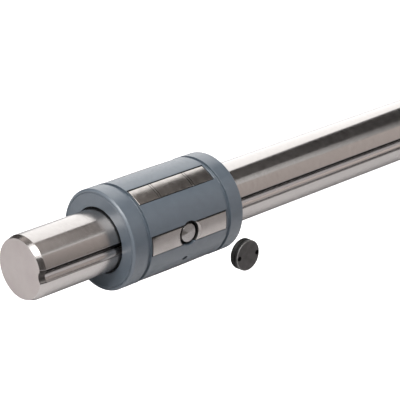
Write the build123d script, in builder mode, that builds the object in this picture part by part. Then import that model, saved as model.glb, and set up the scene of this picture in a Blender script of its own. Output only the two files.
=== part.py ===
"""Torque-resistant linear bushing for a 25 mm grooved shaft: 40 mm outside, 58 mm long, six ball rows.

Millimetres. The origin is the middle of the bushing, on the shaft's axis. +X runs along the shaft to its
far end, +Z is up, and the torque plate with its pocket faces -Y. Angles are turned about +X, from +Y to +Z.
"""

from build123d import *
from math import asin, cos, degrees, pi, radians, sin, sqrt, tan
import os

os.makedirs("parts", exist_ok=True)

# Shaft
shaft_diameter = 25.0
shaft_front_reach = 67.0
shaft_rear_reach = 183.0
lead_in_length = 2.4
lead_in_depth = 0.8

# Ball groove of the shaft
ball_diameter = 4.5
track_conformity = 0.52
groove_depth = 1.25
groove_lead_in_depth = 0.7

# Ball rows
row_count = 6
torque_row_angle = 180.0
retainer_floor = 0.55
channel_play = 0.3
ramp_length = 3.0
ball_spacing = 0.15

# Bushing
bushing_length = 58.0
sleeve_wall = 2.05
edge_chamfer = 0.7
edge_break = 0.2
ring_groove_inset = 7.15
ring_groove_width = 1.85
ring_groove_depth = 1.0
counterbore_step = 0.65

# End pieces
end_ring_length = 2.1
end_ring_bore_gap = 0.7
seal_length = 2.75
seal_lip_height = 1.0
seal_lip_edge = 0.4
holding_ring_thickness = 1.9
holding_ring_height = 4.9
retainer_end_wall = 1.5

# Plates
plate_width = 7.5
plate_flange = 0.75
plate_lip = 0.45
plate_lead = 1.0
window_web = 0.25
window_side_gap = 0.12
window_end_gap = 0.25
rocking_angle = 0.5
relief_line_place = 8.7
relief_line_pitch = 1.2
relief_line_width = 0.25
relief_line_depth = 0.25

# Screw pocket of the torque plate, with its thrust disc
pocket_diameter = 9.2
pocket_depth = 2.8
countersink = 1.1
disc_diameter = 7.3
disc_recess = 1.1

# Adjusting screw, shown taken out in line with the pocket
screw_diameter = 11.8
screw_length = 3.6
screw_land = 1.2
screw_neck_width = 0.5
screw_neck_depth = 0.45
screw_chamfer = 0.5
spigot_diameter = 6.8
spigot_length = 1.2
spanner_hole_diameter = 1.9
spanner_hole_depth = 2.2
spanner_circle = 9.2
screw_lift_off = 25.6

# Lubricating hole
oil_hole_diameter = 2.2
oil_hole_angle = 34.0

# Clearances
ball_gap = 0.02
fit_gap = 0.05
track_play = 0.11
roof_gap = 0.1
retainer_bore_gap = 0.25
seal_gap = 0.08
slot_gap = 0.15
rocking_gap = 0.22

# Radii, from the shaft outwards
shaft_radius = shaft_diameter / 2
ball_radius = ball_diameter / 2
track_radius = track_conformity * ball_diameter
groove_centre = shaft_radius - groove_depth + track_radius
groove_mouth_radius = track_radius + groove_lead_in_depth
load_lane_radius = shaft_radius + ball_radius + ball_gap
torque_lane_radius = shaft_radius - groove_depth + ball_radius + ball_gap
retainer_bore_radius = shaft_radius + retainer_bore_gap
floor_radius = retainer_bore_radius + retainer_floor
return_lane_radius = floor_radius + fit_gap + ball_radius
sleeve_bore_radius = return_lane_radius + ball_radius + roof_gap
retainer_radius = sleeve_bore_radius - fit_gap
bushing_radius = sleeve_bore_radius + sleeve_wall
counterbore_radius = sleeve_bore_radius + counterbore_step
ring_radius = counterbore_radius - fit_gap

# Stations along the axis, from the middle outwards
half_length = bushing_length / 2
end_ring_start = half_length - end_ring_length
seal_start = end_ring_start - fit_gap - seal_length
holding_ring_start = seal_start - holding_ring_thickness
retainer_end = holding_ring_start - fit_gap
channel_width = ball_diameter + channel_play
row_spacing = 360 / row_count
return_angle = row_spacing / 2
turn_radius = return_lane_radius * sin(radians(return_angle / 2))
lane_end = retainer_end - retainer_end_wall - channel_width / 2 - turn_radius
ramp_start = lane_end - ramp_length
plate_foot_end = ramp_start - plate_lead
ring_groove_far = half_length - ring_groove_inset
ring_groove_near = ring_groove_far - ring_groove_width
window_end = ring_groove_near - window_web
plate_end = window_end - window_end_gap

# Heights of the plates above the axis
flange_half_width = plate_width / 2 + plate_flange
flange_top = sqrt(sleeve_bore_radius**2 - flange_half_width**2) - rocking_gap
plate_wing_height = sleeve_bore_radius + rocking_gap
crown_drop = plate_end * tan(radians(rocking_angle))

row_angles = [torque_row_angle + n * row_spacing for n in range(row_count)]


def radial_plane(angle, height=0.0):
    """Plane across the radius at this angle: its X is the shaft's, and its Z points outwards."""
    outward = Vector(0, cos(radians(angle)), sin(radians(angle)))
    return Plane(origin=outward * height, x_dir=(1, 0, 0), z_dir=outward)


def ring_plane(station):
    """Plane across the shaft at this station, with the seams of its round faces at the top."""
    return Plane(origin=(station, 0, 0), x_dir=(0, 0, 1), z_dir=(1, 0, 0))


def turn_to(piece, angle):
    """A piece drawn with its row at the top, turned about the shaft to the row at this angle."""
    return piece.rotate(Axis.X, angle - 90)


def save(piece, name):
    """Label one piece and write it."""
    piece.label = name
    export_step(piece, f"parts/{name}.step")


# Shaft: ground round bar with one ball groove for its whole length, and a lead-in at each end of both
with BuildPart() as shaft:
    with BuildSketch(Plane.XY):
        with BuildLine():
            Polyline(
                (-shaft_front_reach, 0),
                (-shaft_front_reach, shaft_radius - lead_in_depth),
                (-shaft_front_reach + lead_in_length, shaft_radius),
                (shaft_rear_reach - lead_in_length, shaft_radius),
                (shaft_rear_reach, shaft_radius - lead_in_depth),
                (shaft_rear_reach, 0),
                close=True,
            )
        make_face()
    revolve(axis=Axis.X)
    with BuildSketch(Plane.XY):
        with BuildLine():
            Polyline(
                (-shaft_front_reach, -groove_centre),
                (-shaft_front_reach, -groove_centre - groove_mouth_radius),
                (-shaft_front_reach + lead_in_length, -groove_centre - track_radius),
                (shaft_rear_reach - lead_in_length, -groove_centre - track_radius),
                (shaft_rear_reach, -groove_centre - groove_mouth_radius),
                (shaft_rear_reach, -groove_centre),
                close=True,
            )
        make_face()
    revolve(axis=Axis((0, -groove_centre, 0), (1, 0, 0)), mode=Mode.SUBTRACT)
save(shaft.part, "shaft")

# Outer sleeve: plastic tube with ring grooves, a window for each plate, and two holes
with BuildPart() as outer_sleeve:
    with BuildSketch(ring_plane(-half_length)):
        Circle(bushing_radius)
        Circle(sleeve_bore_radius, mode=Mode.SUBTRACT)
    extrude(amount=bushing_length)
    rims = outer_sleeve.edges().filter_by(GeomType.CIRCLE).group_by(SortBy.RADIUS)[-1]
    chamfer(rims, edge_chamfer)
    for end in (-1, 1):
        with BuildSketch(ring_plane(end * (half_length + holding_ring_start) / 2)):
            Circle(counterbore_radius)
        extrude(amount=(half_length - holding_ring_start) / 2, both=True, mode=Mode.SUBTRACT)
        with BuildSketch(ring_plane(end * (ring_groove_near + ring_groove_far) / 2)):
            Circle(bushing_radius + edge_chamfer)
            Circle(bushing_radius - ring_groove_depth, mode=Mode.SUBTRACT)
        extrude(amount=ring_groove_width / 2, both=True, mode=Mode.SUBTRACT)
    for angle in row_angles:
        with BuildSketch(radial_plane(angle, shaft_radius)):
            Rectangle(2 * window_end, plate_width + 2 * window_side_gap)
        extrude(amount=bushing_radius, mode=Mode.SUBTRACT)
    with BuildSketch(radial_plane(torque_row_angle, shaft_radius)):
        Circle(pocket_diameter / 2 + window_side_gap)
    extrude(amount=bushing_radius, mode=Mode.SUBTRACT)
    with BuildSketch(radial_plane(torque_row_angle + oil_hole_angle, shaft_radius)):
        Circle(oil_hole_diameter / 2)
    extrude(amount=bushing_radius, mode=Mode.SUBTRACT)
save(outer_sleeve.part, "outer_sleeve")


def row_cutter(lane_radius):
    """Space that one ball circuit and the foot of its plate take out of the retainer, row at the top."""
    ball_above_floor = max(lane_radius - floor_radius, 0)
    slot_width = 2 * (sqrt(ball_radius**2 - ball_above_floor**2) + slot_gap)
    pocket_floor = lane_radius + plate_lip - rocking_gap
    pocket_width = 2 * (flange_half_width + window_side_gap)
    with BuildPart() as cutter:
        with BuildSketch(radial_plane(90 + return_angle / 2, shaft_radius)):
            SlotCenterToCenter(2 * lane_end, 2 * turn_radius + channel_width)
            SlotCenterToCenter(2 * lane_end, 2 * turn_radius - channel_width, mode=Mode.SUBTRACT)
        extrude(amount=bushing_radius - shaft_radius)
        with BuildSketch(radial_plane(90, shaft_radius)):
            Rectangle(2 * lane_end, channel_width)
        extrude(amount=bushing_radius - shaft_radius)
        with BuildSketch(Plane.YZ.offset(-half_length)):
            Circle(floor_radius)
        extrude(amount=bushing_length, mode=Mode.SUBTRACT)
        with BuildSketch(Plane.XY):
            Rectangle(2 * (lane_end + slot_gap), slot_width)
        extrude(amount=load_lane_radius)
        with BuildSketch(radial_plane(90, pocket_floor)):
            Rectangle(2 * (plate_foot_end + window_end_gap), pocket_width)
        extrude(amount=bushing_radius - pocket_floor)
    return cutter.part


# Ball retainer: plastic cage with one closed circuit for each row
load_cutter = row_cutter(load_lane_radius)
torque_cutter = row_cutter(torque_lane_radius)
with BuildPart() as ball_retainer:
    with BuildSketch(Plane.YZ.offset(-retainer_end)):
        Circle(retainer_radius)
        Circle(retainer_bore_radius, mode=Mode.SUBTRACT)
    extrude(amount=2 * retainer_end)
    add(turn_to(torque_cutter, row_angles[0]), mode=Mode.SUBTRACT)
    for angle in row_angles[1:]:
        add(turn_to(load_cutter, angle), mode=Mode.SUBTRACT)
save(ball_retainer.part, "ball_retainer")

# Holding rings: flat steel rings that close the ends of the retainer
with BuildPart() as front_holding_ring:
    with BuildSketch(ring_plane(-seal_start)):
        Circle(ring_radius)
        Circle(ring_radius - holding_ring_height, mode=Mode.SUBTRACT)
    extrude(amount=holding_ring_thickness)
save(front_holding_ring.part, "front_holding_ring")
save(front_holding_ring.part.mirror(Plane.YZ), "rear_holding_ring")

# Wiper seals: a rubber ring with a tapered lip, and a tongue that follows the shaft's groove
seal_tip = shaft_radius + seal_gap
with BuildPart() as front_wiper_seal:
    with BuildSketch(Plane.XY):
        with BuildLine():
            Polyline(
                (-seal_start, seal_tip + seal_lip_height),
                (-seal_start, ring_radius),
                (-seal_start - seal_length, ring_radius),
                (-seal_start - seal_length, seal_tip),
                (-seal_start - seal_length + seal_lip_edge, seal_tip),
                close=True,
            )
        make_face()
    revolve(axis=Axis.X)
    with BuildSketch(Plane.YZ.offset(-seal_start)):
        with Locations((-groove_centre, 0)):
            Circle(track_radius - seal_gap)
    extrude(amount=-seal_length)
save(front_wiper_seal.part, "front_wiper_seal")
save(front_wiper_seal.part.mirror(Plane.YZ), "rear_wiper_seal")

# End rings: plastic covers set flush into the sleeve, in front of the seals
with BuildPart() as front_end_ring:
    with BuildSketch(ring_plane(-half_length)):
        Circle(ring_radius)
        Circle(shaft_radius + end_ring_bore_gap, mode=Mode.SUBTRACT)
    extrude(amount=end_ring_length)
save(front_end_ring.part, "front_end_ring")
save(front_end_ring.part.mirror(Plane.YZ), "rear_end_ring")


def crowned_bar(crown):
    """Round bar that fills the housing's bore, with its ends lower by the crown."""
    with BuildPart() as bar:
        with BuildSketch(Plane.XY):
            with BuildLine():
                ends = (-plate_end, bushing_radius - crown), (plate_end, bushing_radius - crown)
                back = ThreePointArc(ends[0], (0, bushing_radius), ends[1]) if crown else Line(*ends)
                Polyline(back @ 1, (plate_end, 0), (-plate_end, 0), back @ 0)
            make_face()
        revolve(axis=Axis.X)
    return bar.part


def steel_plate(lane_radius, track_gap, crown):
    """Plate with its row at the top: back, wings at its ends, and a flanged foot over the loaded balls."""
    foot = lane_radius + plate_lip
    with BuildPart() as plate:
        with BuildSketch(Plane.XZ):
            with Locations((0, plate_wing_height)):
                Rectangle(2 * plate_end, bushing_radius, align=(Align.CENTER, Align.MIN))
            with Locations((0, foot)):
                Rectangle(2 * plate_foot_end, bushing_radius, align=(Align.CENTER, Align.MIN))
        extrude(amount=plate_width / 2, both=True)
        with BuildSketch(Plane.XZ):
            with Locations((0, foot)):
                Rectangle(2 * plate_foot_end, flange_top - foot, align=(Align.CENTER, Align.MIN))
        extrude(amount=flange_half_width, both=True)
        add(crowned_bar(crown), mode=Mode.INTERSECT)
        with BuildSketch(Plane.YZ.offset(-plate_end)):
            with Locations((0, lane_radius + ball_radius + track_gap - track_radius)):
                Circle(track_radius)
        extrude(amount=2 * plate_end, mode=Mode.SUBTRACT)
    return plate.part


# Load plates: crowned so that they rock in line with the shaft, with two pairs of fine cross lines
with BuildPart() as load_plate:
    add(steel_plate(load_lane_radius, track_play, crown_drop))
    for pair in (-relief_line_place, relief_line_place):
        for place in (pair - relief_line_pitch / 2, pair + relief_line_pitch / 2):
            back_radius = bushing_radius - crown_drop * (place / plate_end) ** 2
            with BuildSketch(Plane.YZ.offset(place)):
                Circle(bushing_radius + edge_chamfer)
                Circle(back_radius - relief_line_depth, mode=Mode.SUBTRACT)
            extrude(amount=relief_line_width / 2, both=True, mode=Mode.SUBTRACT)
for number, angle in enumerate(row_angles[1:], 1):
    save(turn_to(load_plate.part, angle), f"load_plate_{number}")

# Torque plate: straight along its back, with the countersunk pocket for the adjusting screw
with BuildPart() as torque_plate:
    add(steel_plate(torque_lane_radius, ball_gap, 0.0))
    with BuildSketch(Plane.XY.offset(bushing_radius - pocket_depth)):
        Circle(pocket_diameter / 2)
    extrude(amount=pocket_depth, mode=Mode.SUBTRACT)
    with BuildSketch(Plane.XY.offset(bushing_radius)):
        Circle(pocket_diameter / 2 + countersink)
    extrude(amount=-countersink, taper=45, mode=Mode.SUBTRACT)
save(turn_to(torque_plate.part, torque_row_angle), "torque_plate")

# Thrust disc: the turned seat in the pocket, which the adjusting screw presses
disc_bottom = bushing_radius - pocket_depth + ball_gap
disc_height = pocket_depth - disc_recess - ball_gap
with BuildPart() as thrust_disc:
    with BuildSketch(Plane.XY.offset(disc_bottom)):
        Circle(disc_diameter / 2)
    extrude(amount=disc_height)
    chamfer(thrust_disc.faces().sort_by(Axis.Z)[-1].edges(), edge_break)
save(turn_to(thrust_disc.part, torque_row_angle), "thrust_disc")

# Adjusting screw: face land, neck and threaded land in one piece, with a spigot for the thrust disc
screw_radius = screw_diameter / 2
screw_back = bushing_radius + screw_lift_off + spigot_length
screw_face = screw_back + screw_length
with BuildPart() as adjusting_screw:
    with BuildSketch(Plane.XZ.offset(screw_back)):
        Circle(screw_radius)
    extrude(amount=screw_length)
    chamfer(adjusting_screw.faces().sort_by(Axis.Y)[0].edges(), edge_break)
    chamfer(adjusting_screw.faces().sort_by(Axis.Y)[-1].edges(), screw_chamfer)
    with BuildSketch(Plane.XZ.offset(screw_face - screw_land)):
        Circle(screw_radius + screw_neck_depth)
        Circle(screw_radius - screw_neck_depth, mode=Mode.SUBTRACT)
    extrude(amount=-screw_neck_width, mode=Mode.SUBTRACT)
    with BuildSketch(Plane.XZ.offset(screw_back)):
        Circle(spigot_diameter / 2)
    extrude(amount=-spigot_length)
    with BuildSketch(Plane.XZ.offset(screw_face)):
        with PolarLocations(spanner_circle / 2, 2):
            Circle(spanner_hole_diameter / 2)
    extrude(amount=-spanner_hole_depth, mode=Mode.SUBTRACT)
save(adjusting_screw.part, "adjusting_screw")


def ball_place(distance, lane_radius):
    """Where a ball is that has rolled this far: its X, its angle from the plate and its radius."""
    turn_length = pi * turn_radius
    if distance < 2 * lane_end:
        x = distance - lane_end
        climb = min(max((abs(x) - ramp_start) / ramp_length, 0), 1)
        lift = (return_lane_radius - lane_radius) * (1 - cos(pi * climb)) / 2
        return x, 0.0, lane_radius + lift
    distance -= 2 * lane_end
    if distance < turn_length:
        bend = distance / turn_radius
        across = -turn_radius * cos(bend)
        angle = return_angle / 2 + degrees(asin(across / return_lane_radius))
        return lane_end + turn_radius * sin(bend), angle, return_lane_radius
    distance -= turn_length
    if distance < 2 * lane_end:
        return lane_end - distance, return_angle, return_lane_radius
    bend = (distance - 2 * lane_end) / turn_radius
    across = turn_radius * cos(bend)
    angle = return_angle / 2 + degrees(asin(across / return_lane_radius))
    return -lane_end - turn_radius * sin(bend), angle, return_lane_radius


# One ball, drawn light: 26 flat facets whose corners lie on the true sphere
facet_edge = ball_diameter / sqrt(5 + 2 * sqrt(2))
with BuildPart() as ball:
    cube = facet_edge * (1 + sqrt(2))
    Box(cube, cube, cube)
    chamfer(ball.edges(), facet_edge / sqrt(2))

# Ball circuits: each a closed loop of balls under its plate and back beside it
circuit_length = 4 * lane_end + 2 * pi * turn_radius
ball_count = int(circuit_length / (ball_diameter + ball_spacing))
for number, angle in enumerate(row_angles):
    lane = load_lane_radius if number else torque_lane_radius
    spots = []
    for count in range(ball_count):
        x, turn, radius = ball_place(count * circuit_length / ball_count, lane)
        place = radians(angle + turn)
        spots.append(Location((x, radius * cos(place), radius * sin(place)), (angle + turn, 0, 0)))
    with BuildPart() as circuit:
        with Locations(*spots):
            add(ball.part)
    save(circuit.part, f"ball_circuit_{number}" if number else "torque_ball_circuit")

print("bushing", round(2 * bushing_radius, 3), "across,", bushing_length, "long,", ball_count, "balls a circuit")
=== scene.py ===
"""Looks of the torque-resistant linear bushing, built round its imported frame.

Sizes are named in millimetres and scaled by MM where a mesh is made. +X runs along the shaft to its
far end, +Z is up and the torque plate faces -Y. Angles about the shaft turn from +Y to +Z.
"""
from math import acos, asin, cos, degrees, pi, radians, sin, sqrt

import bpy
from mathutils import Euler, Matrix, Vector
from mathutils.geometry import delaunay_2d_cdt


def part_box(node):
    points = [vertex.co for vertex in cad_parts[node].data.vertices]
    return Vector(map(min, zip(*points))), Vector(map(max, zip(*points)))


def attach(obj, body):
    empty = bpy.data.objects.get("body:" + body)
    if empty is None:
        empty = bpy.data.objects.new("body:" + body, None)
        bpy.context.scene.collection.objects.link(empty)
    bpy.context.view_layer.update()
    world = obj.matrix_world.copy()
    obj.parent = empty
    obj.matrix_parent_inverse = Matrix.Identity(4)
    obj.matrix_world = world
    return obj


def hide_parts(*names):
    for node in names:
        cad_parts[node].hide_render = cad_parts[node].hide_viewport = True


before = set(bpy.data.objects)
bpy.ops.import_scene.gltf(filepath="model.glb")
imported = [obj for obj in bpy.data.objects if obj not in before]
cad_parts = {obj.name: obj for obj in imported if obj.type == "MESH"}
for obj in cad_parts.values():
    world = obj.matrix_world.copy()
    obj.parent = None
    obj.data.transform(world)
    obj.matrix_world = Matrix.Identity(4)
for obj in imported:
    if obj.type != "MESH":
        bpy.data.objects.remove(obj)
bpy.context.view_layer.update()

MM = 0.001


def corners(node):
    """Lowest and highest corner of a CAD node, in millimetres."""
    low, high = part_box(node)
    return low / MM, high / MM


# Sizes that the frame gives
shaft_low, shaft_high = corners("shaft")
shaft_front, shaft_rear, shaft_radius = shaft_low.x, shaft_high.x, shaft_high.z
sleeve_high = corners("outer_sleeve")[1]
half_length, bushing_radius = sleeve_high.x, sleeve_high.z
end_ring_low, end_ring_high = corners("rear_end_ring")
end_ring_start, end_ring_radius = end_ring_low.x, end_ring_high.z
holding_ring_start = corners("rear_holding_ring")[0].x
plate_end = corners("torque_plate")[1].x
disc_low, disc_high = corners("thrust_disc")
disc_top, disc_bottom, disc_radius = -disc_low.y, -disc_high.y, disc_high.x
screw_low, screw_high = corners("adjusting_screw")
screw_face, spigot_end, screw_radius = -screw_low.y, -screw_high.y, screw_high.x

# Rows of balls, each under a plate
torque_angle = 180
row_spacing = 60
row_angles = {"torque_plate": torque_angle}
for row_number in range(1, 6):
    row_angles[f"load_plate_{row_number}"] = torque_angle + row_spacing * row_number

# Shaft
lead_in_length = 2.4
lead_in_depth = 0.8
track_radius = 2.34
groove_centre = 13.59
groove_lead_in_depth = 0.7
groove_lower_soft = 0.35
groove_upper_soft = 0.7

# Sleeve and end rings
sleeve_bore_radius = 17.95
counterbore_radius = 18.6
edge_chamfer = 0.7
seam_chamfer = 0.12
ring_groove_near = 20.0
ring_groove_far = 21.85
ring_groove_depth = 1.0
band_end = 19.88
window_end = 19.75
window_half_width = 3.87
upper_rim_soft = 0.3
lower_rim_soft = 0.05
pocket_clearance = 4.72
oil_hole_radius = 1.1
oil_hole_angle = 214.0
end_ring_bore = 13.2
end_ring_soft = 0.18

# Plates: a bar that stands in its window, and a foot that the balls run under
plate_half_width = 3.75
plate_edge_soft = 0.2
plate_end_soft = 0.3
plate_end_shine = 0.1
# Faces deeper than this under a plate's back get painted shade
bright_back_depth = 0.05
load_lane_radius = 14.77
torque_lane_radius = 13.52
foot_over_lane = 0.45
track_over_lane = 2.27
foot_top = 18.17
foot_in_bar = 0.3
foot_end = 10.21
flange_half_width = 4.5
flange_top = 17.157
crown_drop = 0.17
relief_line_places = (-9.3, -8.1, 8.1, 9.3)
relief_line_width = 0.25
relief_line_depth = 0.2
pocket_radius = 4.6
pocket_floor = 17.2
countersink = 1.1
countersink_shade = 0.35

# Disc
disc_edge_soft = 0.2
centre_mark_radius = 0.45

# Screw
screw_back = 46.8
screw_land = 1.2
land_chamfer = 0.2
face_chamfer = 0.25
face_soft = 0.1
neck_width = 0.5
neck_depth = 0.45
neck_soft = 0.05
thread_pitch = 0.45
thread_depth = 0.2
thread_lead = 0.25
spigot_radius = 3.4
spanner_hole_radius = 0.95
spanner_hole_depth = 1.1
spanner_hole_place = 4.6

# Fineness and edge softening of the meshes
turn_steps = 360
small_turn_steps = 180
spanner_hole_steps = 48
shaft_steps = 300
groove_steps = 36
station_steps = 24
spot_step = 2
thread_rows = 44
edge_soft = 0.12
cutter_reach = 1.0
sharp_angle = radians(40)
shaft_sharp_angle = radians(12)


def add_object(name, data):
    """A mesh, light or camera as an object of the scene."""
    thing = bpy.data.objects.new(name, data)
    bpy.context.scene.collection.objects.link(thing)
    return thing


class Shell:
    """Faces gathered from points in millimetres; points that agree become one vertex."""

    def __init__(self):
        self.index, self.points, self.faces, self.finishes = {}, [], [], []

    def vertex(self, point):
        """Number of the vertex at a point."""
        key = tuple(round(value, 4) for value in point)
        if key not in self.index:
            self.index[key] = len(self.points)
            self.points.append(Vector(point) * MM)
        return self.index[key]

    def face(self, points, finish=0):
        """A face between points, left out where fewer than three of them differ."""
        corner_list = []
        for number in map(self.vertex, points):
            if number not in corner_list:
                corner_list.append(number)
        if len(corner_list) > 2:
            self.faces.append(corner_list)
            self.finishes.append(finish)

    def strip(self, row, next_row, finish=0, closed=True):
        """Quads between two rows of as many points."""
        for i in range(len(row) if closed else len(row) - 1):
            j = (i + 1) % len(row)
            self.face((row[i], row[j], next_row[j], next_row[i]), finish)

    def loft(self, rows, finish=0):
        """Strips from each row to the next one."""
        for row, next_row in zip(rows, rows[1:]):
            self.strip(row, next_row, finish)

    def piece(self, name, *finishes, place=None):
        """The faces as an object, moved by a matrix where one is given, with all normals outwards."""
        mesh = bpy.data.meshes.new(name)
        mesh.from_pydata(self.points, [], self.faces)
        mesh.polygons.foreach_set("material_index", self.finishes)
        if place:
            mesh.transform(place)
        piece = add_object(name, mesh)
        for finish in finishes:
            mesh.materials.append(finish)
        select_only(piece)
        bpy.ops.object.mode_set(mode="EDIT")
        bpy.ops.mesh.select_all(action="SELECT")
        bpy.ops.mesh.normals_make_consistent(inside=False)
        bpy.ops.object.mode_set(mode="OBJECT")
        return piece


def select_only(piece):
    """Make this piece the active one, which the mesh operators work on."""
    bpy.ops.object.select_all(action="DESELECT")
    piece.select_set(True)
    bpy.context.view_layer.objects.active = piece


def crisp(piece, angle=sharp_angle):
    """Smooth faces and sharp corners, with the normals of the largest faces kept true."""
    piece.data.shade_smooth()
    piece.data.set_sharp_from_angle(angle=angle)
    piece.modifiers.new("normals", "WEIGHTED_NORMAL").keep_sharp = True
    return piece


def combine(piece, other, operation):
    """Unite or cut a piece with another one, which is used up."""
    step = piece.modifiers.new(operation.lower(), "BOOLEAN")
    step.operation, step.solver, step.object = operation, "EXACT", other
    bpy.context.view_layer.update()
    graph = bpy.context.evaluated_depsgraph_get()
    result = bpy.data.meshes.new_from_object(piece.evaluated_get(graph), depsgraph=graph)
    piece.modifiers.clear()
    result.name = piece.data.name
    piece.data = result
    bpy.data.objects.remove(other)
    return piece


def placed(piece, body, slot, *nodes):
    """Ride a finished piece on its body, in place of its CAD nodes."""
    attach(piece, body)
    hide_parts(*nodes)
    return piece


def softened(outline, size=edge_soft, steps=3, closed=True):
    """The outline with each sharp corner rounded off by about this size."""
    slight_bend, longest_share = radians(20), 0.45
    result = []
    for i, point in enumerate(outline):
        corner = Vector(point)
        before = Vector(outline[i - 1]) - corner
        after = Vector(outline[(i + 1) % len(outline)]) - corner
        at_end = not closed and i in (0, len(outline) - 1)
        if at_end or before.angle(-after) < slight_bend:
            result.append(point)
            continue
        start = corner + before.normalized() * min(size, longest_share * before.length)
        end = corner + after.normalized() * min(size, longest_share * after.length)
        for k in range(steps + 1):
            t = k / steps
            result.append(start * (1 - t) ** 2 + corner * 2 * t * (1 - t) + end * t**2)
    return result


def ring(station, radius, steps=turn_steps):
    """Points round the shaft's axis; the radius may change with the turn."""
    points = []
    for k in range(steps):
        turn = 2 * pi * k / steps
        r = radius(turn) if callable(radius) else radius
        points.append((station, r * cos(turn), r * sin(turn)))
    return points


def turned(profile, closed=True, steps=turn_steps, finish=0):
    """Shell of a profile of (station, radius) points, turned about the shaft's axis."""
    shell = Shell()
    rows = [ring(x, r, steps) for x, r in profile]
    shell.loft(rows + rows[:1] if closed else rows, finish)
    return shell


def turn_to(angle):
    """Places a piece that was made with its row at the top at its row's angle about the shaft."""
    return Matrix.Rotation(radians(angle - 90), 4, "X")


# Turns of a piece that was made round the shaft's axis: to stand upright, or out of the torque plate
to_top = Matrix.Rotation(radians(-90), 4, "Y")
to_torque_side = Matrix.Rotation(radians(-90), 4, "Z")


# Node materials; nearly all of a noise lies between these two values
noise_low, noise_high = 0.3, 0.7


def set_stops(ramp, stops):
    """Give a colour ramp its stops of (position, colour)."""
    elements = ramp.color_ramp.elements
    while len(elements) < len(stops):
        elements.new(0.5)
    for element, (position, color) in zip(elements, stops):
        element.position, element.color = position, (*color, 1)


def add_node(tree, kind, **inputs):
    """A node whose sockets, named with _ for a space, hold values or take other nodes' outputs."""
    node = tree.nodes.new(kind)
    for name, value in inputs.items():
        socket = node.inputs[name.replace("_", " ")]
        if isinstance(value, bpy.types.NodeSocket):
            tree.links.new(value, socket)
        else:
            socket.default_value = value
    return node


class Finish:
    """A material with a principled shader, and short ways to add the patterns that it needs."""

    def __init__(self, name, color, metallic, roughness, **settings):
        self.material = bpy.data.materials.new(name)
        self.material.use_nodes = True
        self.material.diffuse_color = (*color, 1)
        self.tree, self.links = self.material.node_tree, self.material.node_tree.links
        self.shader = self.tree.nodes["Principled BSDF"]
        self.shader.inputs["Base Color"].default_value = (*color, 1)
        self.shader.inputs["Metallic"].default_value = metallic
        self.shader.inputs["Roughness"].default_value = roughness
        for socket, value in settings.items():
            self.shader.inputs[socket.replace("_", " ")].default_value = value
        self.normal = None

    def node(self, kind, **inputs):
        """A node of this material."""
        return add_node(self.tree, kind, **inputs)

    def place(self, scale=(1, 1, 1)):
        """Object coordinates, stretched; a zero drops that direction."""
        start = self.node("ShaderNodeTexCoord").outputs["Object"]
        return self.node("ShaderNodeMapping", Vector=start, Scale=scale).outputs["Vector"]

    def noise(self, scale, detail=3.0):
        """Noise whose grain is about a metre divided by the scale, along each direction."""
        return self.node(
            "ShaderNodeTexNoise", Vector=self.place(scale), Scale=1.0, Detail=detail, Roughness=0.55
        ).outputs["Fac"]

    def rings(self, across, scale):
        """Noise in rings round an axis: across is 0 along that axis and 1 in the other directions."""
        length = self.node("ShaderNodeVectorMath")
        length.operation = "LENGTH"
        self.links.new(self.place(across), length.inputs[0])
        noise = self.node("ShaderNodeTexNoise", Scale=scale, Detail=2.0)
        noise.noise_dimensions = "1D"
        self.links.new(length.outputs["Value"], noise.inputs["W"])
        return noise.outputs["Fac"]

    def vary(self, socket, pattern, low, high):
        """Spread a pattern between two values of one of the shader's sockets."""
        reach = {"From_Min": noise_low, "From_Max": noise_high, "To_Min": low, "To_Max": high}
        spread = self.node("ShaderNodeMapRange", Value=pattern, **reach)
        self.links.new(spread.outputs["Result"], self.shader.inputs[socket])

    def color_by(self, pattern, stops):
        """Take the base colour from stops of a pattern's value and a colour."""
        ramp = self.node("ShaderNodeValToRGB", Fac=pattern)
        set_stops(ramp, stops)
        self.links.new(ramp.outputs["Color"], self.shader.inputs["Base Color"])

    def tint(self, pattern, low, high):
        """Spread a pattern between two base colours."""
        self.color_by(pattern, [(noise_low, low), (noise_high, high)])

    def relief(self, pattern, height):
        """Raise the surface by a pattern, up to a height in millimetres."""
        inputs = {"Height": pattern, "Distance": height * MM, "Strength": 1.0}
        if self.normal:
            inputs["Normal"] = self.normal
        self.normal = self.node("ShaderNodeBump", **inputs).outputs["Normal"]
        self.links.new(self.normal, self.shader.inputs["Normal"])

    def marks_round(self, axis, strength):
        """Spread reflections across fine marks that run round an axis."""
        tangent = self.node("ShaderNodeTangent")
        tangent.direction_type, tangent.axis = "RADIAL", axis
        self.links.new(tangent.outputs["Tangent"], self.shader.inputs["Tangent"])
        self.shader.inputs["Anisotropic"].default_value = strength
        self.shader.inputs["Anisotropic Rotation"].default_value = 0.25

    def tint_along(self, axis, *stops):
        """Blend base colours along an axis, from stops of a place in millimetres and a colour."""
        axes = self.node("ShaderNodeSeparateXYZ", Vector=self.place())
        start, end = stops[0][0], stops[-1][0]
        reach = {"From_Min": start * MM, "From_Max": end * MM}
        spread = self.node("ShaderNodeMapRange", Value=axes.outputs[axis], **reach)
        shares = [((place - start) / (end - start), color) for place, color in stops]
        self.color_by(spread.outputs["Result"], shares)

    def fan(self, *stops):
        """Blend base colours round the Y axis, by stops of an angle and a colour; up is 0 and +X is 90."""
        axes = self.node("ShaderNodeSeparateXYZ", Vector=self.place())
        flat = self.node("ShaderNodeCombineXYZ", X=axes.outputs["Z"], Y=axes.outputs["X"])
        round_axis = self.node("ShaderNodeTexGradient", Vector=flat.outputs["Vector"])
        round_axis.gradient_type = "RADIAL"
        shares = [(0.5 + angle / 360, color) for angle, color in stops]
        self.color_by(round_axis.outputs["Fac"], shares)


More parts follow.
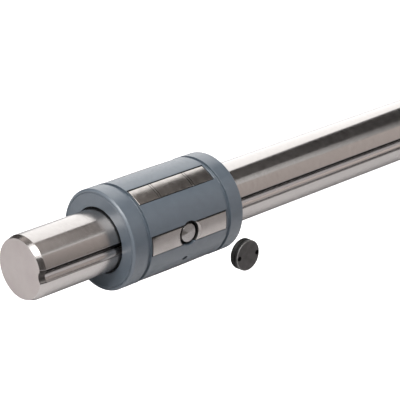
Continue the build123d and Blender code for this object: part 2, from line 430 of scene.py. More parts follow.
def ground_steel():
    """Shaft: centreless ground and polished, with very fine marks round it."""
    steel = Finish("ground_steel", (0.44, 0.418, 0.405), 1.0, 0.19)
    steel.vary("Roughness", steel.noise((900, 260, 260)), 0.16, 0.21)
    steel.tint(steel.noise((1500, 420, 420), 4), (0.42, 0.397, 0.384), (0.456, 0.435, 0.423))
    steel.relief(steel.noise((1400, 1400, 1400), 2), 0.0025)
    steel.relief(steel.noise((9000, 500, 500), 4), 0.0004)
    steel.marks_round("X", 0.8)
    return steel.material


def groove_steel():
    """Ball groove: ground lengthwise, with painted shade along its edges and a painted lighter band below
    its middle.
    """
    steel = Finish("groove_steel", (0.44, 0.418, 0.405), 1.0, 0.2)
    # Painted shade and light by height: near black at both edges of the groove, lighter than the steel in a
    # band below its middle.
    dark, mid, painted_light_band = (0.02, 0.018, 0.017), (0.38, 0.355, 0.345), (0.6, 0.565, 0.55)
    places = (-2.3, dark), (-2.05, mid), (-1.4, mid), (-0.8, painted_light_band), (-0.3, painted_light_band), (0.95, dark)
    steel.tint_along("Z", *places)
    steel.vary("Roughness", steel.noise((40, 2500, 2500)), 0.18, 0.28)
    steel.relief(steel.noise((12, 3500, 3500), 3), 0.0008)
    return steel.material


def painted_shade_lead_in():
    """Lead-in of the groove: rough, its near-black colour painted shade."""
    steel = Finish("painted_shade_lead_in", (0.07, 0.064, 0.061), 1.0, 0.42)
    steel.vary("Roughness", steel.noise((900, 900, 900)), 0.38, 0.5)
    return steel.material


def faced_steel():
    """Ends of the shaft: cut and faced, satin."""
    steel = Finish("faced_steel", (0.39, 0.355, 0.345), 1.0, 0.42)
    steel.vary("Roughness", steel.noise((300, 300, 300)), 0.36, 0.46)
    steel.tint(steel.noise((70, 70, 70)), (0.37, 0.335, 0.325), (0.41, 0.375, 0.365))
    steel.relief(steel.rings((0, 1, 1), 5200), 0.0015)
    return steel.material


def sleeve_plastic():
    """Blue-grey moulded and turned plastic, satin."""
    plastic = Finish("grey_plastic", (0.074, 0.093, 0.114), 0.0, 0.36, Specular_IOR_Level=0.95)
    plastic.tint(plastic.noise((260, 260, 260), 4), (0.069, 0.087, 0.107), (0.079, 0.099, 0.121))
    plastic.vary("Roughness", plastic.noise((700, 700, 700), 4), 0.31, 0.42)
    plastic.relief(plastic.noise((2600, 2600, 2600), 3), 0.003)
    return plastic.material


def plate_steel():
    """Load and torque plates: hardened and ground."""
    steel = Finish("plate_steel", (0.43, 0.405, 0.385), 1.0, 0.22)
    steel.tint(steel.noise((180, 180, 180), 5), (0.40, 0.375, 0.355), (0.46, 0.435, 0.415))
    steel.vary("Roughness", steel.noise((500, 300, 300), 4), 0.19, 0.27)
    steel.relief(steel.noise((9000, 2500, 2500), 2), 0.0001)
    return steel.material


def turned_steel():
    """Thrust disc: turned, with its marks in rings, and a painted reflection of light and dark sectors
    round its middle.
    """
    steel = Finish("turned_steel", (0.36, 0.345, 0.335), 1.0, 0.32)
    # Painted reflection: the base colour runs through light and dark sectors round the disc's axis.
    bright, mid, dull = (0.45, 0.435, 0.425), (0.3, 0.285, 0.273), (0.17, 0.158, 0.148)
    steel.fan((-180, bright), (-105, bright), (-88, dull), (-66, dull), (-50, mid), (60, mid), (90, bright))
    steel.relief(steel.rings((1, 0, 1), 9000), 0.002)
    steel.vary("Roughness", steel.rings((1, 0, 1), 3000), 0.26, 0.38)
    steel.marks_round("Y", 0.9)
    return steel.material


def countersink_steel():
    """Countersink of the torque plate: turned, with painted shade that darkens it towards its lower side.
    """
    steel = Finish("countersink_steel", (0.6, 0.57, 0.55), 1.0, 0.4)
    # Painted shade: darker towards the bottom of the countersink.
    steel.tint_along("Z", (-4.2, (0.06, 0.056, 0.054)), (-1.4, (0.44, 0.412, 0.397)))
    steel.relief(steel.rings((1, 0, 1), 9000), 0.002)
    steel.marks_round("Y", 0.5)
    return steel.material


def black_steel():
    """Adjusting screw: black oxide on turned steel."""
    steel = Finish("black_steel", (0.043, 0.04, 0.038), 0.5, 0.45)
    steel.tint(steel.noise((450, 450, 450), 4), (0.058, 0.055, 0.053), (0.095, 0.09, 0.088))
    steel.vary("Roughness", steel.noise((900, 900, 900), 3), 0.4, 0.52)
    steel.relief(steel.rings((1, 0, 1), 7000), 0.002)
    steel.marks_round("Y", 0.6)
    return steel.material


def painted_shade_black():
    """Painted shade: near black, for threads, holes, gaps, walls and edges that lie in shade."""
    steel = Finish("painted_shade_black", (0.005, 0.005, 0.0045), 0.0, 0.5, Specular_IOR_Level=0.2)
    steel.vary("Roughness", steel.noise((900, 900, 900), 3), 0.42, 0.6)
    return steel.material


def wear_and_highlight_steel():
    """Rims of the adjusting screw, where the black has rubbed thin, and lighter still as a painted
    highlight.
    """
    steel = Finish("wear_and_highlight_steel", (0.25, 0.245, 0.24), 0.9, 0.36)
    steel.tint(steel.noise((900, 900, 900), 4), (0.12, 0.117, 0.114), (0.28, 0.275, 0.27))
    return steel.material


def bright_steel(name, color, roughness):
    """Rings and balls inside the bushing."""
    steel = Finish(name, color, 1.0, roughness)
    steel.vary("Roughness", steel.noise((500, 500, 500)), roughness, roughness + 0.1)
    steel.relief(steel.noise((1800, 1800, 1800)), 0.001)
    return steel.material


def dark_plastic():
    """Ball retainer: dark moulded plastic."""
    plastic = Finish("dark_plastic", (0.02, 0.021, 0.023), 0.0, 0.45)
    plastic.vary("Roughness", plastic.noise((600, 600, 600)), 0.4, 0.55)
    plastic.relief(plastic.noise((2400, 2400, 2400)), 0.004)
    return plastic.material


def black_rubber():
    """Wiper seals."""
    rubber = Finish("black_rubber", (0.012, 0.012, 0.012), 0.0, 0.6)
    rubber.vary("Roughness", rubber.noise((900, 900, 900)), 0.55, 0.75)
    rubber.relief(rubber.noise((3000, 3000, 3000)), 0.008)
    return rubber.material


grey = sleeve_plastic()
# Near-black painted shade, used on every piece for faces in shade
painted_shade = painted_shade_black()

# Finishes of the plates, and the numbers of those that aren't the first one
plate_finishes = plate_steel(), painted_shade, countersink_steel()
plate_painted_shade, plate_countersink = 1, 2


# Shaft, with its groove worked out section by section
def groove_edge(radius, track):
    """Half angle of the groove at a radius, seen from the shaft's axis and from the groove's centre."""
    at_axis = acos((radius**2 + groove_centre**2 - track**2) / (2 * radius * groove_centre))
    return at_axis, asin(radius * sin(at_axis) / track)


def shaft_section(station, radius, track):
    """Points of the shaft's section at a station: round the outside, then round the groove."""
    at_axis, at_groove = groove_edge(radius, track)
    first, final = at_axis + groove_lower_soft / radius, 2 * pi - at_axis - groove_upper_soft / radius
    points = []
    for k in range(shaft_steps + 1):
        turn = pi + first + (final - first) * k / shaft_steps
        points.append((station, radius * cos(turn), radius * sin(turn)))
    last = at_groove - edge_soft / track
    for k in range(groove_steps + 1):
        turn = last - 2 * last * k / groove_steps
        points.append((station, track * cos(turn) - groove_centre, track * sin(turn)))
    return points


def make_shaft():
    """Ground shaft with faced ends and lead-ins, and its groove with a lead-in of its own."""
    shell = Shell()
    outside, groove, end, mouth = range(4)
    face_radius = shaft_radius - lead_in_depth
    mouth_radius = track_radius + groove_lead_in_depth
    profile = [
        (shaft_front, face_radius - edge_soft, mouth_radius + edge_soft),
        (shaft_front + edge_soft, face_radius + edge_soft / 3, mouth_radius - edge_soft / 3),
        (shaft_front + lead_in_length, shaft_radius, track_radius),
        (shaft_rear - lead_in_length, shaft_radius, track_radius),
        (shaft_rear - edge_soft, face_radius + edge_soft / 3, mouth_radius - edge_soft / 3),
        (shaft_rear, face_radius - edge_soft, mouth_radius + edge_soft),
    ]
    rows = [shaft_section(*stage) for stage in profile]
    for row, next_row, finish in zip(rows, rows[1:], (mouth, mouth, groove, mouth, mouth)):
        shell.strip(row[:shaft_steps + 1], next_row[:shaft_steps + 1], outside, closed=False)
        track, next_track = row[shaft_steps:] + row[:1], next_row[shaft_steps:] + next_row[:1]
        shell.strip(track, next_track, finish, closed=False)
    shell.face(rows[0], end)
    shell.face(rows[-1], end)
    shaft = shell.piece("grooved_shaft", ground_steel(), groove_steel(), faced_steel(), painted_shade_lead_in())
    placed(crisp(shaft, shaft_sharp_angle), "shaft", "ground_steel", "shaft")


# Sleeve: its middle band in six sectors with their openings, and a turned part at each end
def window_outline(clearance=0.0, end_steps=8, arc_steps=14):
    """Window of one plate as (station, across) points; a wider round clearance may bulge its sides."""
    side = [(-window_end, -window_half_width)]
    if clearance > window_half_width:
        reach = acos(sqrt(clearance**2 - window_half_width**2) / clearance)
        for k in range(arc_steps + 1):
            turn = -pi + reach + (pi - 2 * reach) * k / arc_steps
            side.append((clearance * cos(turn), clearance * sin(turn)))
    for k in range(end_steps):
        side.append((window_end, window_half_width * (2 * k / end_steps - 1)))
    return [Vector(p) for p in side] + [-Vector(p) for p in side]


def hole_outline(radius, steps=40):
    """Round hole as (station, across) points."""
    turns = [2 * pi * k / steps for k in range(steps)]
    return [Vector((radius * cos(turn), radius * sin(turn))) for turn in turns]


def grown(outline, amount):
    """The outline moved outwards, its corners mitred."""
    result = []
    for i, point in enumerate(outline):
        before = (point - outline[i - 1]).normalized()
        after = (outline[(i + 1) % len(outline)] - point).normalized()
        out_before, out_after = Vector((before.y, -before.x)), Vector((after.y, -after.x))
        result.append(point + (out_before + out_after) * amount / (1 + out_before.dot(out_after)))
    return result


def inside(outline, point):
    """Whether a point lies in a closed outline."""
    hit = False
    for i, a in enumerate(outline):
        b = outline[i - 1]
        if (a.y > point.y) != (b.y > point.y):
            hit ^= point.x < a.x + (b.x - a.x) * (point.y - a.y) / (b.y - a.y)
    return hit


def on_ring(station, angle, radius):
    """The point at an angle round the shaft."""
    return (station, radius * cos(radians(angle)), radius * sin(radians(angle)))


class Opening:
    """A straight-sided opening through the sleeve, square to the radius at its angle."""

    def __init__(self, angle, outline, upper_soft=edge_soft, lower_soft=edge_soft):
        self.angle, self.outline = angle, outline
        lean = edge_soft - upper_soft, lower_soft - edge_soft
        self.rim = [point + Vector((0, lean[point.y >= 0])) for point in grown(outline, edge_soft)]

    def in_shade(self, number):
        """Whether the side that starts at this point is at the front or the top, where it gets painted
        shade.
        """
        middle = (self.outline[number] + self.outline[(number + 1) % len(self.outline)]) / 2
        slack = 0.01
        reach = max(point.x for point in self.outline) - slack
        return middle.x < -reach or (middle.y < 0 and middle.x < reach)

    def row(self, outline, radius):
        """The outline as points on a cylinder of this radius."""
        return [on_ring(p.x, self.angle + degrees(asin(p.y / radius)), radius) for p in outline]

    def flat(self, outline, centre):
        """The outline on the unrolled band, as (station, arc length from the sector's centre)."""
        shift = radians(self.angle - centre)
        return [Vector((p.x, bushing_radius * (shift + asin(p.y / bushing_radius)))) for p in outline]


class Sector:
    """A sixth of the sleeve's middle band: its points unrolled flat, outside and in the bore.

    No face covers a hole, and no spot lies in its guard, which is a little wider.
    """

    def __init__(self, shell, centre):
        self.shell, self.centre, self.half_angle = shell, centre, row_spacing // 2
        self.stations = [band_end * (2 * k / station_steps - 1) for k in range(station_steps + 1)]
        self.flat, self.outer, self.inner, self.edges = [], [], [], []
        self.holes, self.guards = [], []

    def add(self, station, turn):
        """Add the point at a turn in degrees from the sector's centre."""
        self.flat.append(Vector((station, radians(turn) * bushing_radius)))
        self.outer.append(on_ring(station, self.centre + turn, bushing_radius))
        self.inner.append(on_ring(station, self.centre + turn, sleeve_bore_radius))

    def close_loop(self, start):
        """Keep the edges round the points since this number."""
        numbers = list(range(start, len(self.flat)))
        self.edges.extend(zip(numbers, numbers[1:] + numbers[:1]))

    def add_border(self):
        """Add the points round the sector, as one loop."""
        turns = range(-self.half_angle, self.half_angle)
        for station in self.stations[:-1]:
            self.add(station, -self.half_angle)
        for turn in turns:
            self.add(band_end, turn)
        for station in reversed(self.stations[1:]):
            self.add(station, self.half_angle)
        for turn in reversed(turns):
            self.add(-band_end, turn + 1)
        self.close_loop(0)

    def cut(self, opening):
        """Make the walls and the softened rim of an opening, with painted shade at its front and top, and
        keep its outline free.
        """
        start = len(self.flat)
        self.holes.append(opening.flat(opening.rim, self.centre))
        self.guards.append(opening.flat(grown(opening.outline, 3 * edge_soft), self.centre))
        self.flat.extend(self.holes[-1])
        self.outer.extend(opening.row(opening.rim, bushing_radius))
        self.inner.extend(opening.row(opening.outline, sleeve_bore_radius))
        self.close_loop(start)
        lip = opening.row(opening.outline, bushing_radius - edge_soft)
        for row, next_row in ((self.outer[start:], lip), (lip, self.inner[start:])):
            for i, shaded in enumerate(map(opening.in_shade, range(len(row)))):
                j = (i + 1) % len(row)
                self.shell.face((row[i], row[j], next_row[j], next_row[i]), int(shaded))

    def add_spots(self):
        """Add the points within the border that are clear of the openings."""
        for station in self.stations[1:-1]:
            for turn in range(spot_step - self.half_angle, self.half_angle, spot_step):
                spot = Vector((station, radians(turn) * bushing_radius))
                if not any(inside(guard, spot) for guard in self.guards):
                    self.add(station, turn)

    def fill(self):
        """Triangles outside and in the bore, between the border and the openings."""
        within_loops, weld_distance = 1, 1e-6
        parts = delaunay_2d_cdt(self.flat, self.edges, [], within_loops, weld_distance)
        triangles, origin = parts[2], parts[3]
        for triangle in triangles:
            numbers = [origin[corner][0] for corner in triangle]
            middle = sum((self.flat[n] for n in numbers), Vector((0, 0))) / 3
            if not any(inside(hole, middle) for hole in self.holes):
                self.shell.face([self.outer[n] for n in numbers])
                self.shell.face([self.inner[n] for n in reversed(numbers)])


def add_sector(shell, centre, openings):
    """Add one sector of the middle band to the sleeve's shell."""
    sector = Sector(shell, centre)
    sector.add_border()
    for opening in openings:
        sector.cut(opening)
    sector.add_spots()
    sector.fill()


def sleeve_end_profile():
    """Section of the sleeve's rear end, open towards the middle band."""
    return softened([
        (band_end, bushing_radius),
        (ring_groove_near, bushing_radius),
        (ring_groove_near, bushing_radius - ring_groove_depth),
        (ring_groove_far, bushing_radius - ring_groove_depth),
        (ring_groove_far, bushing_radius),
        (half_length - edge_chamfer, bushing_radius),
        (half_length, bushing_radius - edge_chamfer),
        (half_length, counterbore_radius + seam_chamfer),
        (half_length - seam_chamfer, counterbore_radius),
        (holding_ring_start, counterbore_radius),
        (holding_ring_start, sleeve_bore_radius),
        (band_end, sleeve_bore_radius),
    ], closed=False)


def make_sleeve():
    """Sleeve with a window for each plate, the screw's clearance and the oil hole."""
    shell = Shell()
    for angle in row_angles.values():
        window = window_outline(pocket_clearance if angle == torque_angle else 0)
        openings = [Opening(angle, window, upper_rim_soft, lower_rim_soft)]
        if abs(oil_hole_angle - angle) < row_spacing / 2:
            openings.append(Opening(oil_hole_angle, hole_outline(oil_hole_radius)))
        add_sector(shell, angle, openings)
    for end in (-1, 1):
        shell.loft([ring(end * x, r) for x, r in sleeve_end_profile()])
    sleeve = shell.piece("window_sleeve", grey, painted_shade)
    placed(crisp(sleeve), "bushing", "grey_plastic", "outer_sleeve")


def make_end_rings():
    """Both end rings, set into the ends of the sleeve."""
    profile = softened([
        (end_ring_start, end_ring_bore),
        (half_length, end_ring_bore),
        (half_length, end_ring_radius),
        (end_ring_start, end_ring_radius),
    ], end_ring_soft)
    for name, end in (("front", -1), ("rear", 1)):
        end_ring = turned([(end * x, r) for x, r in profile]).piece(f"{name}_cover_ring", grey)
        placed(crisp(end_ring), "bushing", "grey_plastic", f"{name}_end_ring")


# Plates, made with their row at the top
def back_radius(station, crown):
    """Radius of a plate's back, which drops by the crown towards both ends."""
    return bushing_radius - crown * (station / plate_end) ** 2


def relief_line(place, radius):
    """The four points of a cross line in a plate's back."""
    half, floor = relief_line_width / 2, radius - relief_line_depth
    points = (-half, radius), (-half / 2, floor), (half / 2, floor), (half, radius)
    return [(place + shift, height) for shift, height in points]


def back_profile(crown, lines, steps=8):
    """Stations along a plate's back and the radius of the back there, with the cross lines cut in."""
    soft, shine = plate_end_soft, plate_end_shine
    lowest = back_radius(plate_end, crown) - soft
    profile = [(-plate_end, lowest)]
    plain_places = [k * plate_end / steps for k in range(-steps, steps + 1)]
    for place in sorted(plain_places + list(lines)):
        radius = back_radius(place, crown)
        if place in lines:
            profile += relief_line(place, radius)
        elif abs(place) < plate_end:
            profile.append((place, radius))
        else:
            side = 1 if place > 0 else -1
            points = [(place - side * soft, radius), (place - side * (soft - shine), radius - shine / 3)]
            profile += points[::side]
    return profile + [(plate_end, lowest)]


def bar_section(station, radius, arc_steps=14):
    """Section of a plate's bar: up one side, over the back and down the other side."""
    width, soft = plate_half_width, plate_edge_soft
    half = [(width, foot_top)]
    shoulder = sqrt(radius**2 - (width - soft) ** 2)
    half += [(width, shoulder - soft), (width - soft / 3, shoulder - soft / 3)]
    for k in range(arc_steps // 2):
        across = (width - soft) * (1 - 2 * k / arc_steps)
        half.append((across, sqrt(radius**2 - across**2)))
    points = half + [(0, radius)] + [(-t, n) for t, n in reversed(half)]
    return [(station, t, n) for t, n in points]


def foot_section(station, lane_radius, arc_steps=12):
    """Section of a plate's foot, with its flanges and the track for the balls."""
    foot = lane_radius + foot_over_lane
    centre = lane_radius + track_over_lane - track_radius
    reach = acos((foot - centre) / track_radius)
    half = [(plate_half_width, foot_top + foot_in_bar), (plate_half_width, flange_top)]
    half += [(flange_half_width, flange_top), (flange_half_width, foot)]
    points = list(half)
    for k in range(arc_steps + 1):
        turn = reach - 2 * reach * k / arc_steps
        points.append((track_radius * sin(turn), centre + track_radius * cos(turn)))
    points += [(-t, n) for t, n in reversed(half)]
    return [(station, t, n) for t, n in points]


def shade_bar(bar, crown):
    """Painted shade for all of a plate's bar but its back."""
    for number, corner_list in enumerate(bar.faces):
        middle = sum((bar.points[n] for n in corner_list), Vector()) / len(corner_list) / MM
        depth = back_radius(middle.x, crown) - middle.yz.length
        if depth > bright_back_depth or abs(middle.y) > plate_half_width - plate_edge_soft:
            bar.finishes[number] = plate_painted_shade


def make_plate(name, lane_radius, crown, lines):
    """A plate's bar and foot in one piece."""
    bar = Shell()
    rows = [bar_section(x, r) for x, r in back_profile(crown, lines)]
    bar.loft(rows)
    bar.face(rows[0])
    bar.face(rows[-1])
    shade_bar(bar, crown)
    foot = Shell()
    ends = [foot_section(x, lane_radius) for x in (-foot_end, foot_end)]
    # The foot gets painted shade all over.
    foot.loft(ends, plate_painted_shade)
    foot.face(ends[0], plate_painted_shade)
    foot.face(ends[1], plate_painted_shade)
    return combine(bar.piece(name, *plate_finishes), foot.piece("foot", *plate_finishes), "UNION")


def pocket_cutter():
    """Pocket of the torque plate: painted shade on its wall, floor and the inner strip of its countersink,
    and the rest of the countersink turned.
    """
    sink, above = bushing_radius - countersink, bushing_radius + cutter_reach
    profile = softened([
        (pocket_floor, 0),
        (pocket_floor, pocket_radius),
        (sink, pocket_radius),
        (sink + countersink_shade, pocket_radius + countersink_shade),
        (above, pocket_radius + countersink + cutter_reach),
    ], edge_soft / 2, closed=False)
    rows = [ring(x, r, small_turn_steps) for x, r in profile]
    shell = Shell()
    shell.loft(rows[:-1], plate_painted_shade)
    shell.loft(rows[-2:], plate_countersink)
    shell.face(rows[-1], plate_painted_shade)
    return shell.piece("pocket", *plate_finishes, place=to_top)


def make_load_plates():
    """The five crowned plates, as copies of one."""
    first = make_plate("crowned_plate", load_lane_radius, crown_drop, relief_line_places)
    for name, angle in row_angles.items():
        if name.startswith("load"):
            mesh = first.data.copy()
            mesh.transform(turn_to(angle))
            placed(crisp(add_object(f"{name}_steel", mesh)), name, "plate_steel", name)
    bpy.data.objects.remove(first)


def make_torque_plate():
    """The plain plate over the shaft's groove, with the pocket for disc and screw."""
    plate = make_plate("torque_plate_steel", torque_lane_radius, 0.0, ())
    combine(plate, pocket_cutter(), "DIFFERENCE")
    plate.data.transform(turn_to(torque_angle))
    placed(crisp(plate), "bushing", "plate_steel", "torque_plate")


def make_disc():
    """Turned disc in the torque plate's pocket, with a centre mark."""
    profile = softened([
        (disc_bottom, 0),
        (disc_bottom, disc_radius),
        (disc_top, disc_radius),
        (disc_top, centre_mark_radius),
        (disc_top - centre_mark_radius / 2, 0),
    ], disc_edge_soft, closed=False)
    shell = turned(profile, closed=False, steps=small_turn_steps)
    disc = shell.piece("turned_disc", turned_steel(), place=to_torque_side)
    placed(crisp(disc), "bushing", "turned_steel", "thrust_disc")


# Adjusting screw
land_start = screw_face - screw_land
neck_start = screw_face - screw_land - neck_width
screw_wear_and_highlight, screw_painted_shade = 1, 2


def thread_radius(station):
    """Radius of the thread at each turn, faded in and out at its ends."""
    inset = min(station - screw_back, neck_start - station)
    top = screw_radius - max(thread_lead - inset, 0)

    def radius(turn):
        """Radius here, off a ramp that goes up and down once a pitch."""
        place = (station / thread_pitch - turn / (2 * pi)) % 1
        return min(top, screw_radius - thread_depth * abs(2 * place - 1))

    return radius


def thread_profile():
    """Spigot and thread, up to the neck."""
    stations = [screw_back + (neck_start - screw_back) * k / thread_rows for k in range(1, thread_rows)]
    spigot = softened([
        (spigot_end, 0),
        (spigot_end, spigot_radius),
        (screw_back, spigot_radius),
        (screw_back, screw_radius - thread_lead),
    ], closed=False)
    thread = [(station, thread_radius(station)) for station in stations]
    return spigot + thread + [(neck_start, screw_radius - thread_lead)]


def land_profile():
    """Neck and plain land."""
    return softened([
        (neck_start, screw_radius - thread_lead),
        (neck_start, screw_radius - neck_depth),
        (land_start, screw_radius - neck_depth),
        (land_start, screw_radius - land_chamfer),
        (land_start + land_chamfer, screw_radius),
        (screw_face - face_chamfer, screw_radius),
    ], neck_soft, closed=False)


def face_profile():
    """Chamfer and face, to the middle."""
    return softened([
        (screw_face - face_chamfer, screw_radius),
        (screw_face, screw_radius - face_chamfer),
        (screw_face, 0),
    ], face_soft, closed=False)


def cut_spanner_hole(screw, side):
    """One of the two holes in the screw's face, with painted shade inside."""
    bottom, above = screw_face - spanner_hole_depth, screw_face + cutter_reach
    profile = [
        (bottom, 0),
        (bottom, spanner_hole_radius),
        (screw_face, spanner_hole_radius),
        (above, spanner_hole_radius + cutter_reach),
        (above, 0),
    ]
    shell = turned(profile, closed=False, steps=spanner_hole_steps, finish=screw_painted_shade)
    place = to_torque_side @ Matrix.Translation((0, side * spanner_hole_place * MM, 0))
    combine(screw, shell.piece("spanner_hole", *screw.data.materials, place=place), "DIFFERENCE")


def make_screw():
    """Black screw with painted shade on its thread, neck and land, rims worn and lighter as a painted
    highlight, and two spanner holes.
    """
    shell = Shell()
    thread, land, face = [
        [ring(x, r, small_turn_steps) for x, r in profile]
        for profile in (thread_profile(), land_profile(), face_profile())
    ]
    shell.loft(thread, screw_painted_shade)
    shell.loft(land, screw_painted_shade)
    shell.loft(face[:-1], screw_wear_and_highlight)
    shell.loft(face[-2:])
    screw = shell.piece("spanner_screw", black_steel(), wear_and_highlight_steel(), painted_shade, place=to_torque_side)
    for side in (-1, 1):
        cut_spanner_hole(screw, side)
    placed(crisp(screw), "adjusting_screw", "black_steel", "adjusting_screw")


def dress_hidden_nodes():
    """Finishes of the CAD nodes that stay, by a word of their names."""
    finishes = {
        "seal": black_rubber(),
        "holding_ring": bright_steel("plain_steel", (0.45, 0.44, 0.43), 0.28),
        "retainer": dark_plastic(),
        "circuit": bright_steel("ball_steel", (0.6, 0.6, 0.6), 0.08),
    }
    for name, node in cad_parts.items():
        for word, finish in finishes.items():
            if word in name:
                for slot in node.material_slots:
                    slot.material = finish


# Studio, in metres
bushing_bottom = -bushing_radius * MM
floor_height = -0.3
table_gap = 0.0005
shadow_sheet_gap = 0.0003
card_height = 0.5
card_tone = (1, 0.905, 0.865)
card_grain = 45
camera_lift = 0.9


def rectangle(left, near, right, far):
    """Corners of a rectangle seen from above."""
    return ((left, near), (right, near), (right, far), (left, far))


def level_sheet(height, outline):
    """Corners of a level sheet at a height."""
    return [(x, y, height) for x, y in outline]


def upright(y, left, right, low, high):
    """Corners of an upright sheet that faces along Y."""
    return ((left, y, low), (right, y, low), (right, y, high), (left, y, high))


floor_outline = rectangle(-5.0, -5.0, 5.0, 5.0)
shadow_sheet_outline = rectangle(-0.075, 0.0015, 0.035, 0.08)
lead_card_outline = rectangle(-0.14, 0.03, 0.17, 0.66)
band_card_outline = (
    (0.30, 0.07), (0.18, 0.07), (0.15, -0.36), (0.39, -0.43), (0.45, -0.458), (0.51, -0.235),
    (0.56, -0.235), (0.63, -0.275), (0.76, -0.40), (0.86, -0.49), (1.3, -0.90), (1.3, 0.60),
    (0.71, 0.27), (0.60, 0.215), (0.50, 0.15), (0.42, 0.10),
)


def add_light(name, place, size, radiance, glossy=True):
    """Soft box of a given radiance that faces the bushing; reflections may show it, the camera doesn't."""
    light = bpy.data.lights.new(name, "AREA")
    light.shape, light.size, light.size_y = "RECTANGLE", *size
    light.energy = radiance * size[0] * size[1] * pi
    lamp = add_object(name, light)
    lamp.location = place
    lamp.rotation_euler = (-Vector(place)).to_track_quat("-Z", "Y").to_euler()
    lamp.visible_camera, lamp.visible_glossy = False, glossy


def flat_sheet(name, points, material):
    """A flat piece of the studio with these corners."""
    mesh = bpy.data.meshes.new(name)
    mesh.from_pydata(points, [], [range(len(points))])
    mesh.materials.append(material)
    sheet = add_object(name, mesh)
    return sheet


def unseen_sheet(name, points, material):
    """Sheet that gives light back to the object, but has no shadow and isn't seen by the camera."""
    sheet = flat_sheet(name, points, material)
    sheet.visible_camera = sheet.visible_shadow = sheet.visible_transmission = False
    return sheet


def add_card(name, points, material):
    """Card that only reflections show."""
    unseen_sheet(name, points, material).visible_diffuse = False


def card_cloth(name, slope, stops, mottle=0.0):
    """Cloth of a card: grey levels that change along a slope through the scene, and a mottle on top."""
    cloth = bpy.data.materials.new(name)
    cloth.use_nodes = True
    tree = cloth.node_tree
    tree.nodes.clear()
    place = add_node(tree, "ShaderNodeTexCoord").outputs["Object"]
    along = add_node(tree, "ShaderNodeVectorMath")
    along.operation = "DOT_PRODUCT"
    tree.links.new(place, along.inputs[0])
    along.inputs[1].default_value = slope
    ramp = add_node(tree, "ShaderNodeValToRGB", Fac=along.outputs["Value"])
    set_stops(ramp, [(position, [level * part for part in card_tone]) for position, level in stops])
    grain = add_node(tree, "ShaderNodeTexNoise", Vector=place, Scale=card_grain)
    reach = {"From_Min": noise_low, "From_Max": noise_high, "To_Min": 1 - mottle, "To_Max": 1 + mottle}
    spread = add_node(tree, "ShaderNodeMapRange", Value=grain.outputs["Fac"], **reach)
    color, strength = ramp.outputs["Color"], spread.outputs["Result"]
    glow = add_node(tree, "ShaderNodeEmission", Color=color, Strength=strength)
    add_node(tree, "ShaderNodeOutputMaterial", Surface=glow.outputs["Emission"])
    return cloth


def floor_paint():
    """Matt white floor, lifted to pure white for the camera, with its shadow kept."""
    white = {"Specular_IOR_Level": 0.1, "Emission_Color": (1, 1, 1, 1)}
    paint = Finish("floor_paint", (0.8, 0.8, 0.8), 0.0, 0.9, **white)
    lift = paint.node("ShaderNodeMath")
    lift.operation = "MULTIPLY"
    paint.links.new(paint.node("ShaderNodeLightPath").outputs["Is Camera Ray"], lift.inputs[0])
    lift.inputs[1].default_value = camera_lift
    paint.links.new(lift.outputs["Value"], paint.shader.inputs["Emission Strength"])
    return paint.material


def table_paint():
    """Matt white table, greyer towards the camera."""
    paint = Finish("table_paint", (0.8, 0.8, 0.8), 0.0, 0.9, Specular_IOR_Level=0.1)
    paint.tint_along("Y", (-64, (0.38, 0.365, 0.37)), (-48, (0.58, 0.56, 0.57)), (-22, (0.8, 0.785, 0.79)))
    return paint.material


def shadow_sheet_paint():
    """Dark sheet on the table's far side under the shaft and bushing: a painted shadow that the lower steel
    reflects.
    """
    return Finish("shadow_sheet_paint", (0.25, 0.24, 0.23), 0.0, 0.9, Specular_IOR_Level=0.1).material


def light_world(ambient=0.15):
    """White for the camera and for reflections, dimmer as the light that falls on things."""
    world = bpy.data.worlds.new("studio")
    bpy.context.scene.world = world
    world.use_nodes = True
    tree = world.node_tree
    tree.nodes.clear()
    rays = add_node(tree, "ShaderNodeLightPath")
    seen = rays.outputs["Is Camera Ray"]
    for name in ("Is Glossy Ray", "Is Transmission Ray"):
        either = add_node(tree, "ShaderNodeMath")
        either.operation, either.use_clamp = "ADD", True
        tree.links.new(seen, either.inputs[0])
        tree.links.new(rays.outputs[name], either.inputs[1])
        seen = either.outputs["Value"]
    mix = add_node(tree, "ShaderNodeMixShader", Fac=seen)
    for socket, strength in ((1, ambient), (2, 1.0)):
        sky = add_node(tree, "ShaderNodeBackground", Color=(1, 1, 1, 1), Strength=strength)
        tree.links.new(sky.outputs[0], mix.inputs[socket])
    add_node(tree, "ShaderNodeOutputWorld", Surface=mix.outputs[0])


def lay_ground():
    """The floor, and right under the bushing a table and a dark sheet of painted shadow that the camera
    doesn't see.
    """
    flat_sheet("floor", level_sheet(floor_height, floor_outline), floor_paint())
    unseen_sheet("table", level_sheet(bushing_bottom - table_gap, floor_outline), table_paint())
    unseen_sheet("painted_shadow_sheet", level_sheet(bushing_bottom - shadow_sheet_gap, shadow_sheet_outline), shadow_sheet_paint())


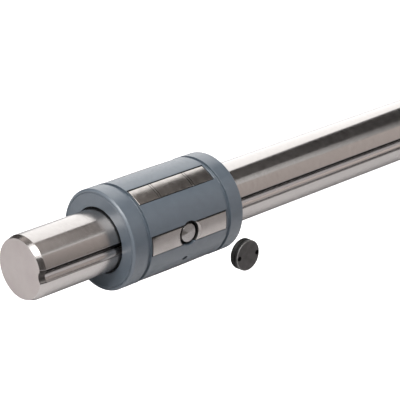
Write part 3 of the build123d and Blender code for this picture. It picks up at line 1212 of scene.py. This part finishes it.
def hang_cards():
    """Cards whose reflections give the bands of light and dark on the steel."""
    stops = ((0.235, 1.0), (0.262, 0.5), (0.282, 0.19), (0.38, 0.11), (0.5, 0.02))
    band_cloth = card_cloth("band_cloth", (1, 0.167, 0), stops, 0.25)
    add_card("band_card", level_sheet(card_height, band_card_outline), band_cloth)
    stops = ((0.03, 0.4), (0.11, 0.24), (0.2, 0.42), (0.3, 0.68), (0.42, 0.64), (0.5, 0.3), (0.62, 0.12))
    lead_cloth = card_cloth("lead_cloth", (0, 1, 0), stops)
    add_card("lead_card", level_sheet(card_height, lead_card_outline), lead_cloth)
    stops = ((0.11, 0.34), (0.17, 0.52), (0.27, 0.7), (0.45, 0.76))
    side_cloth = card_cloth("side_cloth", (1, 0, 0.3), stops)
    add_card("side_card", upright(-0.26, 0.05, 0.9, -0.02, 0.25), side_cloth)
    dark_cloth = card_cloth("dark_cloth", (1, 0, 0), ((0.0, 0.1), (1.0, 0.1)), 0.2)
    add_card("camera_card", upright(-0.9, -0.5, 0.2, -0.02, 0.8), dark_cloth)
    add_card("back_card", upright(0.8, -0.3, 0.42, -0.02, 0.62), dark_cloth)


def set_lights():
    """Two soft boxes that reflections show, and one that only fills."""
    add_light("back_panel", (0.91, 0.53, 0.56), (1.25, 1.5), 1.0)
    add_light("key_box", (-0.36, -0.27, 0.77), (0.8, 0.72), 7.0)
    add_light("fill_box", (-0.9, 0.1, 0.3), (0.5, 0.5), 3.2, glossy=False)


# Camera, fitted to the photograph
camera_place = (-436.502, -472.056, 259.247)
camera_turns = (68.6523, 0.4704, -44.5139)
focal_length = 161.243
sensor_width = 36.0
nearest = 0.01


def add_camera():
    """Camera that sees what the photograph shows."""
    camera = bpy.data.cameras.new("camera")
    camera.sensor_width, camera.lens, camera.clip_start = sensor_width, focal_length, nearest
    view = add_object("camera", camera)
    view.location = Vector(camera_place) * MM
    view.rotation_euler = Euler([radians(turn) for turn in camera_turns])
    bpy.context.scene.camera = view


make_shaft()
make_sleeve()
make_end_rings()
make_load_plates()
make_torque_plate()
make_disc()
make_screw()
dress_hidden_nodes()
lay_ground()
hang_cards()
set_lights()
light_world()
add_camera()
bpy.context.scene.view_settings.view_transform = "Standard"
